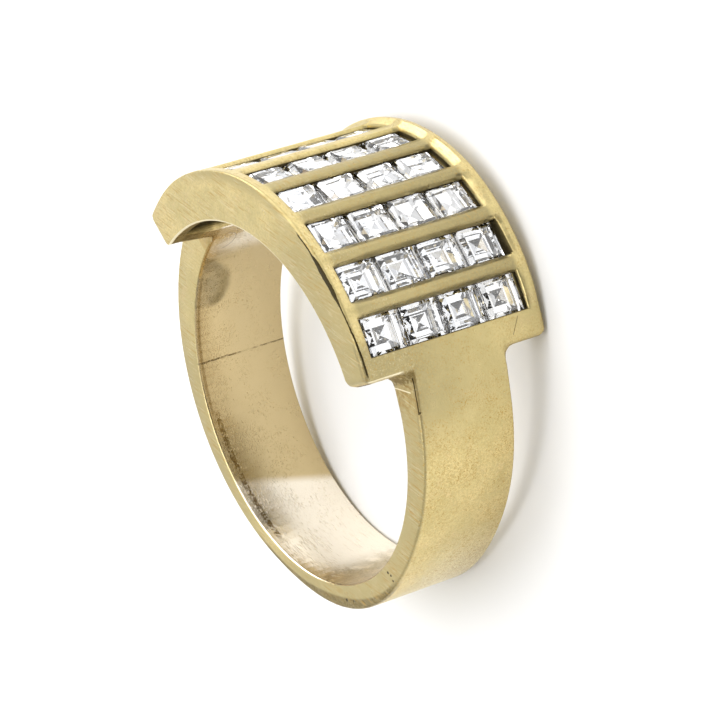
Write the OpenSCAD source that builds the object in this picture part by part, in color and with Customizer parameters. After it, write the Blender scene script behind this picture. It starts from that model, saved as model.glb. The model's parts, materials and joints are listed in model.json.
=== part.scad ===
// Diamond band: a plain tapering shank carries a broad curved head, whose open channels
// each hold a row of square step-cut stones. The ring lies on its side, as it rests on a table.

/* [Finger hole] */
// Inside diameter of the shank
finger_d = 17; // [16:0.1:20]

/* [Shank] */
// Width of the shank along the finger
shank_w = 4.7; // [4:0.1:5.5]
// Wall of the shank at the bottom of the ring
shank_bottom_t = 0.72; // [0.6:0.02:1]
// How much larger the shank's outer radius is than the finger hole's
shank_growth = 1.42; // [1.3:0.02:1.5]
// Bevel along the shank's outer edges
shank_bevel = 0.15; // [0.05:0.05:0.3]

/* [Head] */
// Width of the head along the finger
head_w = 9.2; // [8.8:0.1:10]
// Height of the head's crown above the finger hole
head_rise = 2.65; // [2.55:0.05:3]
// Radius of the head's curved top
head_r = 9.75; // [9.6:0.05:9.9]
// Angle from the crown to each end of the head, about the finger
head_half = 55.5; // [54.5:0.5:60]
// Angle from the crown to the inner face of each end wall
hollow_half = 47; // [44:0.5:48]
// Angle from the crown down to where the head's plate meets the bare shank
tongue_half = 69; // [66:0.5:72]
// Thickness of the pierced top plate
plate_t = 1.15; // [1.05:0.05:1.25]
// How far the head's lower rim stands back from the finger hole
rim_lift = 0.16; // [0.16:0.01:0.25]
// Bevel along the head's top edges
head_bevel = 0.2; // [0.05:0.05:0.3]
// Rounding of the head's four outer corners
corner_r = 0.4; // [0.2:0.05:0.5]
// Fillet where the head overhangs the shank
fillet_r = 0.6; // [0.3:0.05:0.8]

/* [Stones] */
// Rows of stones round the head
rows = 8; // [6:1:8]
// Stones in each row
cols = 4; // [3:1:4]
// Side of a stone at its girdle
stone_side = 1.96; // [1.9:0.01:1.98]
// Distance between stones in a row
stone_pitch = 2; // [2:0.01:2.02]
// Angle between rows, about the centre of the head's top
row_pitch = 14.75; // [14.5:0.05:14.9]
// Visible height of a channel between two bars
channel_h = 1.66; // [1.5:0.02:1.7]
// Thickness of the bars' lips that hold the stones down
lip_t = 0.43; // [0.4:0.01:0.45]
// Clearance round the stones in their seats
seat_gap = 0.03; // [0.02:0.01:0.04]

/* [Hidden] */
stone_ids = [for (row = [1 : rows], col = [1 : cols]) [row, col]];
function stone_name(id) = str("stone_r", id[0], "_c", id[1]);
$fn = 180;
gold = "khaki";
ice = "aliceblue";

finger_r = finger_d / 2;
over = 1;
reach = 3 * finger_r;

// Shank: its outer circle is lifted, so the wall grows from the bottom to the shoulders
shank_r = finger_r + shank_growth;
shank_off = shank_growth - shank_bottom_t;

// Head: its top is an arc about a centre above the finger's
head_off = finger_r + head_rise - head_r;
rim_r = finger_r + rim_lift;
hollow_r = head_r - plate_t;
row_w = cols * stone_pitch;
rim_notch = 0.34;
rim_notch_angle = 2.5;
corner_chords = 4;
corner_floor = finger_r / 2;

// Stones: heights are measured from the girdle, widths are shares of the side
girdle_t = 0.04;
table_share = 0.61;
table_h = 0.27;
crown_share = 0.82;
crown_h = 0.17;
pavilion_upper_share = 0.69;
pavilion_upper_h = -0.4;
pavilion_lower_share = 0.37;
pavilion_lower_h = -0.72;
culet_share = 0.02;
culet_h = -1;
// Columns of the table of levels: share of the side, height
stone_levels = [
    [table_share, table_h],
    [crown_share, crown_h],
    [1, girdle_t / 2],
    [1, -girdle_t / 2],
    [pavilion_upper_share, pavilion_upper_h],
    [pavilion_lower_share, pavilion_lower_h],
    [culet_share, culet_h],
];
// Crown height at the lip's edge, which sets how deep the girdle sits under the lips
lip_crown_h = crown_h * (stone_side - channel_h) / (stone_side * (1 - crown_share));
girdle_rho = head_r - lip_t - lip_crown_h - seat_gap;
seat_side = stone_side + 2 * seat_gap;
seat_floor_rho = girdle_rho + culet_h - seat_gap;

// Rest: the ring leans on two tips of the head and on the shank's bottom edge
tip_z = (rim_r + rim_notch) * cos(head_half);
foot_z = -(finger_r + shank_bottom_t - shank_bevel);
tilt = atan((head_w - shank_w) / 2 / (tip_z - foot_z));
rest_lift = shank_w / 2 * cos(tilt) - foot_z * sin(tilt);
head_reach = (head_w / 2 - head_bevel) * sin(tilt) + (finger_r + head_rise) * cos(tilt);
foot_reach = (shank_w / 2 - shank_bevel) * sin(tilt) + (finger_r + shank_bottom_t) * cos(tilt);
rest_shift = (head_reach - foot_reach) / 2;

function row_angle(row) = ((rows + 1) / 2 - row) * row_pitch;
function stone_y(col) = (col - (cols + 1) / 2) * stone_pitch;

// Turns the ring from finger along Y and head up to its resting place on the floor
module lay_down()
    translate([0, rest_shift, rest_lift])
        rotate([tilt - 90, 0, 180])
            children();

// Extrudes an outline drawn in the ring's X and Z along the finger, centred
module along_finger(width)
    rotate([90, 0, 0])
        linear_extrude(width, center = true)
            children();

// A disc about the finger's direction, with bevelled rims, its centre lifted by off
module disc(radius, width, off = 0, bevel = 0)
    translate([0, 0, off])
        rotate([90, 0, 0])
            if (bevel == 0)
                cylinder(r = radius, h = width, center = true);
            else
                rotate_extrude()
                    polygon([
                        [0, -width / 2],
                        [radius - bevel, -width / 2],
                        [radius, bevel - width / 2],
                        [radius, width / 2 - bevel],
                        [radius - bevel, width / 2],
                        [0, width / 2],
                    ]);

// A wedge from the finger's centre, open upwards, half degrees to each side of the crown
module wedge(half, width)
    along_finger(width)
        polygon([
            [0, 0],
            [-reach * sin(half), reach * cos(half)],
            [0, reach],
            [reach * sin(half), reach * cos(half)],
        ]);

// Places children at one end of the head: X is away from the head, Y along the finger, Z outwards
module at_head_end(side, front)
    scale([side, front, 1])
        rotate([0, head_half, 0])
            children();

module at_four_ends()
    for (side = [-1, 1], front = [-1, 1])
        at_head_end(side, front)
            children();

// Points of a quarter circle in a few chords, from angle start; the end chords run on past the circle's ends
function quarter(centre, radius, start) =
    let (
        last = corner_chords,
        arc = [
            for (i = [0 : last])
                let (angle = start + 90 * i / last)
                    centre + radius * [cos(angle), sin(angle)]
        ]
    )
    [
        for (i = [0 : last])
            i == 0 ? 2 * arc[0] - arc[1]
            : i == last ? 2 * arc[last] - arc[last - 1]
            : arc[i]
    ];

// Rounds an outer corner of the head when taken away
module corner_cut() {
    bounds = quarter([-corner_r, head_w / 2 - corner_r], corner_r, 0);
    translate([0, 0, corner_floor])
        linear_extrude(2 * head_r)
            polygon(concat(
                bounds,
                [
                    [bounds[corner_chords].x, head_w / 2 + over],
                    [over, head_w / 2 + over],
                    [over, bounds[0].y],
                ]
            ));
}

// Fills the angle between the head's end face and the shank's side
module fillet() {
    bounds = quarter([fillet_r, shank_w / 2 + fillet_r], fillet_r, 180);
    translate([0, 0, corner_floor])
        linear_extrude(2 * head_r)
            polygon(concat(
                bounds,
                [
                    [bounds[corner_chords].x, shank_w / 2 - over],
                    [-over, shank_w / 2 - over],
                    [-over, bounds[0].y],
                ]
            ));
}

// One channel: a wide seat for the girdles under a narrower opening between the lips
module channel(row)
    translate([0, 0, head_off])
        rotate([0, row_angle(row), 0]) {
            translate([-channel_h / 2, -row_w / 2, seat_floor_rho])
                cube([channel_h, row_w, head_r - seat_floor_rho + over]);
            translate([-seat_side / 2, -row_w / 2, seat_floor_rho])
                cube([seat_side, row_w, head_r - lip_t - seat_floor_rho]);
        }

// Relief at the lower corner of each end of the head, under a line that runs on past both its ends
module rim_notches() {
    foot = rim_r * [sin(head_half - rim_notch_angle), cos(head_half - rim_notch_angle)];
    tip = (rim_r + rim_notch) * [sin(head_half), cos(head_half)];
    along_finger(head_w + 2 * over)
        for (side = [-1, 1])
            scale([side, 1])
                polygon([2 * foot - tip, 2 * tip - foot, [tip.x + over, foot.y - over]]);
}

// The curved block of the head over the finger, before it is hollowed and pierced
module head_block()
    difference() {
        intersection() {
            disc(head_r, head_w, head_off, head_bevel);
            wedge(head_half, head_w);
        }
        disc(rim_r, head_w + over);
        rim_notches();
        at_four_ends()
            corner_cut();
    }

// The shank runs from end wall to end wall, with the head's plate carried down over its shoulders
module shank()
    difference() {
        union() {
            disc(shank_r, shank_w, shank_off, shank_bevel);
            intersection() {
                disc(head_r, shank_w, head_off, shank_bevel);
                wedge(tongue_half, head_w);
            }
            intersection() {
                at_four_ends()
                    fillet();
                disc(head_r - head_bevel, head_w, head_off);
            }
        }
        disc(finger_r, head_w + over);
        wedge(hollow_half, head_w + over);
    }

// The tray under the stones, which opens to the finger
module hollow()
    intersection() {
        disc(hollow_r, row_w, head_off);
        wedge(hollow_half, head_w);
    }

module gold_band()
    color(gold)
        lay_down()
            difference() {
                union() {
                    head_block();
                    shank();
                }
                hollow();
                for (row = [1 : rows])
                    channel(row);
            }

// A square step cut: square rings of points at each level, joined by bands of facets
module step_cut()
    let (
        corners = [[-1, -1], [1, -1], [1, 1], [-1, 1]],
        last = len(stone_levels) - 1
    )
    polyhedron(
        points = [for (level = stone_levels, corner = corners)
            [
                corner.x * level[0] * stone_side / 2,
                corner.y * level[0] * stone_side / 2,
                level[1],
            ]],
        faces = concat(
            [[3, 2, 1, 0]],
            [for (i = [0 : last - 1], k = [0 : 3])
                [4 * i + k, 4 * i + (k + 1) % 4, 4 * i + 4 + (k + 1) % 4, 4 * i + 4 + k]],
            [[for (k = [0 : 3]) 4 * last + k]]
        )
    );

module stone(id)
    color(ice)
        lay_down()
            translate([0, 0, head_off])
                rotate([0, row_angle(id[0]), 0])
                    translate([0, stone_y(id[1]), girdle_rho])
                        step_cut();

gold_band();
for (id = stone_ids)
    stone(id);
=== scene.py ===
"""A gold band whose broad head holds rows of square step-cut diamonds in open channels.

The ring is modelled upright in millimetres, finger along Y and head up, as it would be at the bench.
Each finished piece is then laid down on its side, where the frame's finger hole says that the ring rests.
"""

import json
import logging
import math
import random
from dataclasses import dataclass, field
from enum import Enum
from typing import Callable, Union

import bmesh
import bpy
from mathutils import Matrix, Vector


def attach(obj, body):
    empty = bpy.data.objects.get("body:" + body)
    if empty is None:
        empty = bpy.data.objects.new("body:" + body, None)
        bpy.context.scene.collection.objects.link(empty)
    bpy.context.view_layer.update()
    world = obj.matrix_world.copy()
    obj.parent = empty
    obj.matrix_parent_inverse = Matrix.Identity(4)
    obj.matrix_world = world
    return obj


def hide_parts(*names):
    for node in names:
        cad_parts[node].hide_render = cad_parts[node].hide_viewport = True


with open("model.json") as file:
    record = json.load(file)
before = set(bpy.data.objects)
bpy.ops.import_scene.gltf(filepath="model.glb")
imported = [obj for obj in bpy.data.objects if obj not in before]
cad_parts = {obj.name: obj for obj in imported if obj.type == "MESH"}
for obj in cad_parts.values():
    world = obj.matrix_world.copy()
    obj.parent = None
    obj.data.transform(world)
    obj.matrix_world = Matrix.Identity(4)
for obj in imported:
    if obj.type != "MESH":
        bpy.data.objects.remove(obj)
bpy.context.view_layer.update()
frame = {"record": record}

log = logging.getLogger("diamond_band")

MM = 0.001
# Two places that are nearer to each other than this, in millimetres, are one
NEAR = 0.004
# The same for two angles, in degrees
SAME_ANGLE = 0.1
# A flat face's normal has more of Z than this, and a standing face's less than that
FLAT = 0.9
STANDING = 0.1


class Side(Enum):
    """Which elements of a mesh a selection picks."""

    VERTS = "VERT"
    EDGES = "EDGE"
    FACES = "FACE"


class Bench:
    """A mesh object under work, with the hand tools that shape it in edit mode."""

    def __init__(self, piece: bpy.types.Object) -> None:
        """Takes a mesh object to the bench."""
        self.piece = piece

    @classmethod
    def start(cls, add: Callable[..., set], name: str, **sizes: object) -> "Bench":
        """Adds a primitive and puts it on the bench.

        Args:
            add: The operator that adds the primitive.
            name: The new object's name.
            **sizes: The operator's own sizes and place.

        Returns:
            The bench with the new object in edit mode.
        """
        bpy.ops.object.select_all(action="DESELECT")
        add(**sizes)
        piece = bpy.context.object
        piece.name = name
        piece.data.name = name
        bpy.ops.object.mode_set(mode="EDIT")
        return cls(piece)

    def pick(self, side: Side, test: Callable[[bmesh.types.BMVert], bool]) -> int:
        """Selects the elements that pass a test and nothing else.

        Args:
            side: The kind of element.
            test: Is asked about each vertex, edge or face.

        Returns:
            How many elements are selected.
        """
        bpy.ops.mesh.select_mode(type=side.value)
        bpy.ops.mesh.select_all(action="DESELECT")
        shape = bmesh.from_edit_mesh(self.piece.data)
        elements = {Side.VERTS: shape.verts, Side.EDGES: shape.edges, Side.FACES: shape.faces}[side]
        chosen = [element for element in elements if test(element)]
        for element in chosen:
            element.select_set(True)
        bmesh.update_edit_mesh(self.piece.data)
        return len(chosen)

    def cut(self, place: tuple[float, float, float], normal: tuple[float, float, float]) -> None:
        """Scores the whole mesh along the plane with a normal through a place."""
        bpy.ops.mesh.select_all(action="SELECT")
        bpy.ops.mesh.bisect(plane_co=place, plane_no=normal)

    def draw(self, step: tuple[float, float, float]) -> None:
        """Extrudes the selected faces by a step."""
        bpy.ops.mesh.extrude_region_move(TRANSFORM_OT_translate={"value": step})

    def shift(self, step: tuple[float, float, float]) -> None:
        """Moves what is selected by a step."""
        bpy.ops.transform.translate(value=step)

    def mend(self) -> None:
        """Turns every face outwards."""
        bpy.ops.mesh.select_all(action="SELECT")
        bpy.ops.mesh.normals_make_consistent(inside=False)

    def done(self) -> None:
        """Leaves edit mode."""
        bpy.ops.object.mode_set(mode="OBJECT")

    def settle(self) -> None:
        """Applies the object's place, turn and size to its mesh."""
        self.only()
        bpy.ops.object.transform_apply(location=True, rotation=True, scale=True)

    def tip(self, turn: float, lift: float = 0.0) -> None:
        """Turns the object about X and lifts it, in its mesh.

        Args:
            turn: The turn in radians.
            lift: How far it is lifted after the turn.
        """
        self.piece.rotation_euler = (turn, 0, 0)
        self.piece.location = (0, 0, lift)
        self.settle()

    def only(self) -> None:
        """Makes this object the only selected one, and the active one."""
        bpy.ops.object.select_all(action="DESELECT")
        self.piece.select_set(True)
        bpy.context.view_layer.objects.active = self.piece

    def modify(self, kind: str, **settings: object) -> None:
        """Adds a modifier, sets it and applies it.

        Args:
            kind: The modifier's type.
            **settings: Its settings.
        """
        self.only()
        modifier = self.piece.modifiers.new(kind.title(), kind)
        for key, value in settings.items():
            setattr(modifier, key, value)
        bpy.ops.object.modifier_apply(modifier=modifier.name)

    def group(self, name: str, share: Callable[[Vector], float]) -> str:
        """Names a group of vertices, in object mode.

        Args:
            name: The group's name.
            share: Gives a vertex's share in the group, from 0 to 1, by its place.

        Returns:
            The group's name.
        """
        members = self.piece.vertex_groups.new(name=name)
        for vertex in self.piece.data.vertices:
            weight = float(share(vertex.co))
            if weight > 0:
                members.add([vertex.index], weight, "REPLACE")
        return name


def close(a: float, b: float) -> bool:
    """Tells whether two places are one, within the modelling tolerance."""
    return abs(a - b) < NEAR


@dataclass(frozen=True)
class Rest:
    """How the ring lies, read from the frame's finger hole."""

    mount: str = "finger_hole"

    def matrix(self) -> Matrix:
        """Reads how the finger hole lies.

        Returns:
            The move from the upright ring in millimetres to the laid one in metres.
        """
        hole = next(mount for mount in frame["record"]["mounts"] if mount["name"] == self.mount)
        front = -Vector(hole["axis"])
        across = Vector((-1.0, 0.0, 0.0))
        head = across.cross(front)
        turn = Matrix((across, front, head)).transposed().to_4x4()
        return Matrix.Translation(Vector(hole["pos_m"])) @ turn @ Matrix.Scale(MM, 4)


class Level(Enum):
    """The band's layers from its top inwards."""

    TOP = 0
    LIP = 1
    CEILING = 2
    POCKET = 3
    INSIDE = 4


@dataclass(frozen=True)
class BandSizes:
    """The band's sizes in millimetres and degrees, about the finger's centre or the head's."""

    # The shank, whose outer circle is lifted and leans to one side
    finger_r: float = 8.5
    shank_w: float = 4.7
    shank_r: float = 9.92
    shank_off: float = 0.7
    shank_lean: float = -0.14
    shank_steps: int = 40
    # The head's block, its hollow and the layers of its plate
    head_w: float = 9.2
    head_r: float = 9.6
    head_off: float = 1.4
    head_half: float = 55.5
    hollow_half: float = 47.0
    rim_r: float = 8.66
    plate_t: float = 1.0
    lip_t: float = 0.24
    pocket_r: float = 8.12
    wall_r: float = 7.5
    # The rows' channels, and the bars and borders between them
    row_w: float = 8.0
    rows: int = 8
    row_pitch: float = 14.75
    channel_h: float = 1.66
    seat_h: float = 2.02
    border_y: float = 4.3
    bar_shoulder: float = 0.65
    bar_pillow: float = 0.13
    pillowed: tuple[float, float] = (3.0, 47.0)
    # How much of the crests' height the front edge, the back border and the back edge take
    front_rise: float = 0.9
    back_border_rise: float = 1.3
    back_rise: float = 1.2
    # The shank's thicker lower side
    heel_r: float = 9.66
    heel_angle: float = 147.0
    heel_half: float = 44.0
    # How far from their lines the shank's outer and inner circles are drawn
    crest_play: float = 0.12
    wing_play: float = 0.5
    far_cross_shift: float = 2.0
    # The unevenness of handwork: each wing's side and front, and how far its top and inside run on
    back_bulge: float = 0.15
    bulge_angle: float = 8.0
    bulge_pace: float = 1.9
    far_wall_shift: float = 1.5
    wing_shifts: tuple[tuple[int, int, float, float], ...] = (
        (1, -1, 0.4, 0.4),
        (1, 1, 1.8, 1.8),
        (-1, -1, 2.2, 2.0),
    )
    # The rows whose windows are longer at the back
    longer_windows: tuple[tuple[int, float], ...] = ((2, 0.13), (4, 0.05), (5, 0.07))

    def rho(self, level: Level) -> float:
        """Gives a layer's distance from the head's centre."""
        steps = (0.0, self.lip_t, self.plate_t, self.head_r - self.pocket_r, self.head_r - self.wall_r)
        return self.head_r - steps[level.value]

    def row_angle(self, row: int) -> float:
        """Gives a row's angle from the crown about the head's centre, row 1 on the seen side."""
        return ((self.rows + 1) / 2 - row) * self.row_pitch

    def about_head(self, finger_angle: float, rho: float) -> float:
        """Turns an angle about the finger into one about the head's centre, at a distance from that."""
        aside = self.head_off * math.sin(math.radians(finger_angle))
        return finger_angle + math.degrees(math.asin(aside / rho))

    def window_half(self) -> float:
        """Gives half the angle that a channel's opening takes."""
        return math.degrees(math.asin(self.channel_h / 2 / self.head_r))

    def seat_half(self) -> float:
        """Gives half the angle that the seat under the lips takes."""
        return math.degrees(math.asin(self.seat_h / 2 / (self.head_r - self.lip_t)))

    def crossing(self) -> float:
        """Finds where the plate's arc meets the bare shank's.

        Returns:
            The angle about the head's centre.
        """
        towards = Vector((self.shank_lean, self.shank_off - self.head_off))
        gap = towards.length
        along = (self.head_r ** 2 - self.shank_r ** 2 + gap ** 2) / (2 * gap)
        aside = math.sqrt(self.head_r ** 2 - along ** 2)
        meeting = towards / gap * along + Vector((-towards.y, towards.x)) / gap * aside
        return math.degrees(math.atan2(meeting.x, meeting.y))

    def crest(self, angle: float, at_back: bool = False) -> float:
        """Gives how far the bars and borders stand above the windows' rims.

        Args:
            angle: The angle from the crown about the head's centre.
            at_back: Whether the border at the back is meant, which stands highest.

        Returns:
            The height over the rims in millimetres.
        """
        hidden_side = ((-77.0, 0.0), (-62.0, 0.1), (-52.0, 0.15))
        front = (*hidden_side, (-44.0, 0.15), (-29.0, 0.05), (-18.0, 0.04), (48.0, 0.06), (64.0, 0.0))
        back = (*hidden_side, (-45.0, 0.2), (15.0, 0.2), (48.0, 0.08), (64.0, 0.0))
        heights = back if at_back else front
        if not heights[0][0] < angle < heights[-1][0]:
            return 0.0
        for (low, start), (high, end) in zip(heights, heights[1:]):
            if angle <= high:
                return start + (end - start) * (angle - low) / (high - low)
        return 0.0

    def bulge(self, angle: float) -> float:
        """Gives how far the back of the head stands out at an angle from the crown."""
        away = math.cos(math.radians((angle - self.bulge_angle) * self.bulge_pace))
        return self.back_bulge * max(0.0, away) ** 0.5


@dataclass(frozen=True)
class BandEdges:
    """How far each kind of edge is rounded, in millimetres."""

    corner: float = 0.4
    fillet: float = 0.6
    head_top: float = 0.2
    front_top: float = 0.1
    head_end: float = 0.24
    far_wing: float = 0.6
    far_tip: float = 0.9
    shank_outer: float = 0.14
    shank_inner: float = 0.1
    rim: float = 0.08
    rim_end: float = 0.4
    hollow: float = 0.08
    window: float = 0.12
    segments: int = 4
    smooth_below: float = 35.0

    def widest(self) -> float:
        """Gives the widest rounding, which the edges' weights are shares of."""
        return max(self.corner, self.fillet, self.rim_end, self.far_wing, self.far_tip)


PlaceTest = Callable[[Vector], bool]
EdgeTest = Callable[[bmesh.types.BMEdge], bool]


@dataclass
class GoldBand:
    """The soldered gold body: a pierced tray of a head on a plain tapering shank.

    It starts as a flat strip, X round the ring and Y along the finger, is cut and drawn down layer by layer,
    and is then bent round the head's centre.
    """

    sizes: BandSizes = field(default_factory=BandSizes)
    edges: BandEdges = field(default_factory=BandEdges)
    name: str = "gold_band_body"
    node: str = "gold_band"

    def arc(self, angle: float) -> float:
        """Gives the flat strip's X of an angle about the head's centre."""
        return math.radians(angle) * self.sizes.head_r

    def depth(self, level: Level) -> float:
        """Gives the flat strip's Z of a layer."""
        return self.sizes.rho(level) - self.sizes.head_r

    def end_angle(self, level: Level = Level.TOP) -> float:
        """Gives the angle of the head's end face at a layer."""
        return self.sizes.about_head(self.sizes.head_half, self.sizes.rho(level))

    def wall_angle(self, level: Level = Level.CEILING) -> float:
        """Gives the angle of the hollow's end wall at a layer."""
        return self.sizes.about_head(self.sizes.hollow_half, self.sizes.rho(level))

    def row_near(self, x: float) -> float:
        """Gives the distance in degrees from a place on the strip to the nearest row's centre."""
        angle = math.degrees(x / self.sizes.head_r)
        return min(abs(angle - self.sizes.row_angle(row)) for row in range(1, self.sizes.rows + 1))

    def scores(self) -> list[float]:
        """Lists where the strip is scored across, on one side of the crown.

        Returns:
            The angles about the head's centre.
        """
        s = self.sizes
        window, seat = s.window_half(), s.seat_half()
        wall, end, cross = self.wall_angle(), self.end_angle(), s.crossing()
        angles = [0.0]
        for row in range(1, s.rows // 2 + 1):
            middle = s.row_angle(row)
            angles += [middle + step for step in (-seat, -window, -window / 2, 0.0, window, seat)]
            angles.append(wall if row == 1 else middle + window / 2)
            if row < s.rows // 2:
                angles.append(middle - s.row_pitch / 2)
        shank = [cross + (180 - cross) * step / s.shank_steps for step in range(s.shank_steps)]
        return [*angles, end, (end + cross) / 2, *shank]

    def strip(self) -> Bench:
        """Lays out the flat strip with its scores, its outline and its channels.

        Returns:
            The bench with the strip as one open sheet.
        """
        s = self.sizes
        bench = Bench.start(bpy.ops.mesh.primitive_plane_add, self.name, size=1)
        bpy.ops.transform.resize(value=(2 * self.arc(180), s.head_w, 1))
        for angle in self.scores():
            for side in (-1, 1) if angle else (1,):
                bench.cut((side * self.arc(angle), 0, 0), (1, 0, 0))
        for y in (s.shank_w / 2, s.row_w / 2, s.border_y):
            for side in (-1, 1):
                bench.cut((0, side * y, 0), (0, 1, 0))
        end = self.arc(self.end_angle())

        def waste(face: bmesh.types.BMFace) -> bool:
            """Finds what lies beside the shank or in a channel.

            Args:
                face: A face of the scored strip.

            Returns:
                Whether the face is cut away.
            """
            centre = face.calc_center_median()
            in_window = self.row_near(centre.x) < s.window_half() and abs(centre.y) < s.row_w / 2
            return in_window if abs(centre.x) < end else abs(centre.y) > s.shank_w / 2

        bench.pick(Side.FACES, waste)
        bpy.ops.mesh.delete(type="FACE")
        return bench

    def tray(self, bench: Bench) -> None:
        """Draws the strip down layer by layer into lips, plate, walls and shank.

        Args:
            bench: The bench with the flat strip.
        """
        s = self.sizes
        row_end, wall = s.row_w / 2, self.arc(self.wall_angle())
        depths = {level: self.depth(level) for level in Level}

        def down(level: Level, to: Level, keep: PlaceTest) -> None:
            """Draws the kept faces of a layer's underside down to another layer.

            Args:
                level: The layer.
                to: The layer that it is drawn down to.
                keep: Tells by a face's centre whether it is kept.
            """

            def under(face: bmesh.types.BMFace) -> bool:
                """Tells whether a face is a kept one of the layer's underside."""
                centre = face.calc_center_median()
                return close(centre.z, depths[level]) and face.normal.z < -FLAT and keep(centre)

            bench.pick(Side.FACES, under)
            bench.draw((0, 0, depths[to] - depths[level]))

        bpy.ops.mesh.select_all(action="SELECT")
        bench.draw((0, 0, depths[Level.LIP]))
        bench.mend()
        down(Level.LIP, Level.CEILING, lambda c: abs(c.y) > row_end or self.row_near(c.x) > s.seat_half())
        down(Level.CEILING, Level.POCKET, lambda c: abs(c.y) > row_end or abs(c.x) > wall)
        down(Level.POCKET, Level.INSIDE, lambda c: True)
        self.pockets(bench)

    def pockets(self, bench: Bench) -> None:
        """Fills in the head's end walls under the stones that sit over them.

        Args:
            bench: The bench with the tray drawn down to the inside.
        """
        s = self.sizes
        wall, far = self.arc(self.wall_angle()), self.arc(s.row_angle(1) + s.seat_half())
        half_row = s.row_w / 2
        levels = (self.depth(Level.POCKET), self.depth(Level.INSIDE))

        def on_rim(c: Vector) -> bool:
            """Tells whether a place is on the outline of a pocket, seen from above."""
            at_far = close(abs(c.x), far) and abs(c.y) < half_row
            return at_far or (close(abs(c.y), half_row) and wall < abs(c.x) < far)

        def buried(face: bmesh.types.BMFace) -> bool:
            """Tells whether a face lies between a pocket's floor and the inside, under the pocket's rim."""
            c = face.calc_center_median()
            return c.z < levels[0] - NEAR and abs(face.normal.z) < STANDING and on_rim(c)

        bench.pick(Side.FACES, buried)
        bpy.ops.mesh.delete(type="FACE")
        for side in (-1, 1):
            for level in levels:

                def rim(edge: bmesh.types.BMEdge) -> bool:
                    """Tells whether an edge borders the pocket on this side and level."""
                    a, b = (v.co for v in edge.verts)
                    return close(a.z, level) and close(b.z, level) and side * a.x > 0 and on_rim((a + b) / 2)

                bench.pick(Side.EDGES, rim)
                bpy.ops.mesh.edge_face_add()
            bench.pick(
                Side.VERTS,
                lambda v: close(side * v.co.x, wall)
                and close(abs(v.co.y), half_row)
                and any(close(v.co.z, level) for level in levels),
            )
            bpy.ops.mesh.edge_face_add()
        bench.mend()

    def plain_walls(self, bench: Bench) -> None:
        """Takes the layers' lines off the outer walls, which are plain.

        Args:
            bench: The bench with the drawn band.
        """
        s = self.sizes
        end, closing = self.arc(self.end_angle()), self.arc(180)
        top, inside = self.depth(Level.TOP), self.depth(Level.INSIDE)

        def outer(p: Vector) -> bool:
            """Tells whether a place is on the strip's outline.

            Args:
                p: The place.

            Returns:
                Whether it is on the head's sides, its ends or the shank's sides.
            """
            on_head = close(abs(p.y), s.head_w / 2)
            on_end = close(abs(p.x), end) and abs(p.y) > s.shank_w / 2 - NEAR
            on_shank = close(abs(p.y), s.shank_w / 2) and abs(p.x) > end - NEAR
            return on_head or on_end or on_shank

        def layer_line(edge: bmesh.types.BMEdge) -> bool:
            """Finds the layers' lines.

            Args:
                edge: An edge of the drawn band.

            Returns:
                Whether the edge is a layer's line on an outer wall.
            """
            a, b = (v.co for v in edge.verts)
            between = inside + NEAR < a.z < top - NEAR and close(a.z, b.z)
            return between and all(outer(p) for p in (a, b, (a + b) / 2))

        bench.pick(Side.FACES, lambda f: close(abs(f.calc_center_median().x), closing))
        bpy.ops.mesh.delete(type="ONLY_FACE")
        bench.pick(Side.EDGES, lambda d: not d.link_faces)
        bpy.ops.mesh.delete(type="EDGE")
        bench.pick(Side.EDGES, layer_line)
        bpy.ops.mesh.dissolve_edges(use_verts=True)

    def true_ends(self, bench: Bench) -> None:
        """Sets the end faces and the hollow's end walls square to the finger.

        Args:
            bench: The bench with the drawn band.
        """
        lines = (
            (self.end_angle, Level.TOP, Level.INSIDE),
            (self.wall_angle, Level.CEILING, Level.POCKET),
            (self.wall_angle, Level.CEILING, Level.INSIDE),
        )
        for angle, home, level in lines:
            for side in (-1, 1):
                line = side * self.arc(angle(home))
                bench.pick(Side.VERTS, lambda v: close(v.co.x, line) and close(v.co.z, self.depth(level)))
                bench.shift((side * self.arc(angle(level)) - line, 0, 0))

    def weigh(self, bench: Bench) -> None:
        """Marks how far each edge is rounded.

        Args:
            bench: The bench with the drawn band, still flat.
        """
        s, e = self.sizes, self.edges
        end, inner_end = self.arc(self.end_angle()), self.arc(self.end_angle(Level.INSIDE))
        wall = self.arc(self.wall_angle(Level.INSIDE))
        top, ceiling, inside = (self.depth(level) for level in (Level.TOP, Level.CEILING, Level.INSIDE))
        half_head, half_shank, half_row = s.head_w / 2, s.shank_w / 2, s.row_w / 2
        half_window = s.window_half()

        def at_end(p: Vector) -> bool:
            """Tells whether a place is on an end face of the head."""
            return close(abs(p.x), end if p.z > ceiling else inner_end)

        def at_wing(p: Vector) -> bool:
            """Tells whether a place is on an end face beside the shank."""
            return at_end(p) and abs(p.y) > half_shank - NEAR

        def at_far_wing(p: Vector) -> bool:
            """Tells whether a place is on the hidden end's face in front of the shank."""
            return at_end(p) and p.x < 0 and p.y < NEAR - half_shank

        def beside_shank(start: float) -> PlaceTest:
            """Makes the test for the lines along the shank's sides that start at a place on the strip."""
            return lambda p: close(abs(p.y), half_shank) and abs(p.x) > start - NEAR

        def on_hollow_side(p: Vector) -> bool:
            """Tells whether a place is on a side of the hollow."""
            return close(abs(p.y), half_row) and abs(p.x) < wall + NEAR

        def on_hollow_end(p: Vector) -> bool:
            """Tells whether a place is on an end wall of the hollow."""
            return close(abs(p.x), wall) and abs(p.y) < half_row + NEAR

        def upright(edge: bmesh.types.BMEdge) -> bool:
            """Tells whether an edge runs down further than the plate is thick."""
            a, b = (v.co for v in edge.verts)
            return abs(a.z - b.z) > s.plate_t

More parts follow.
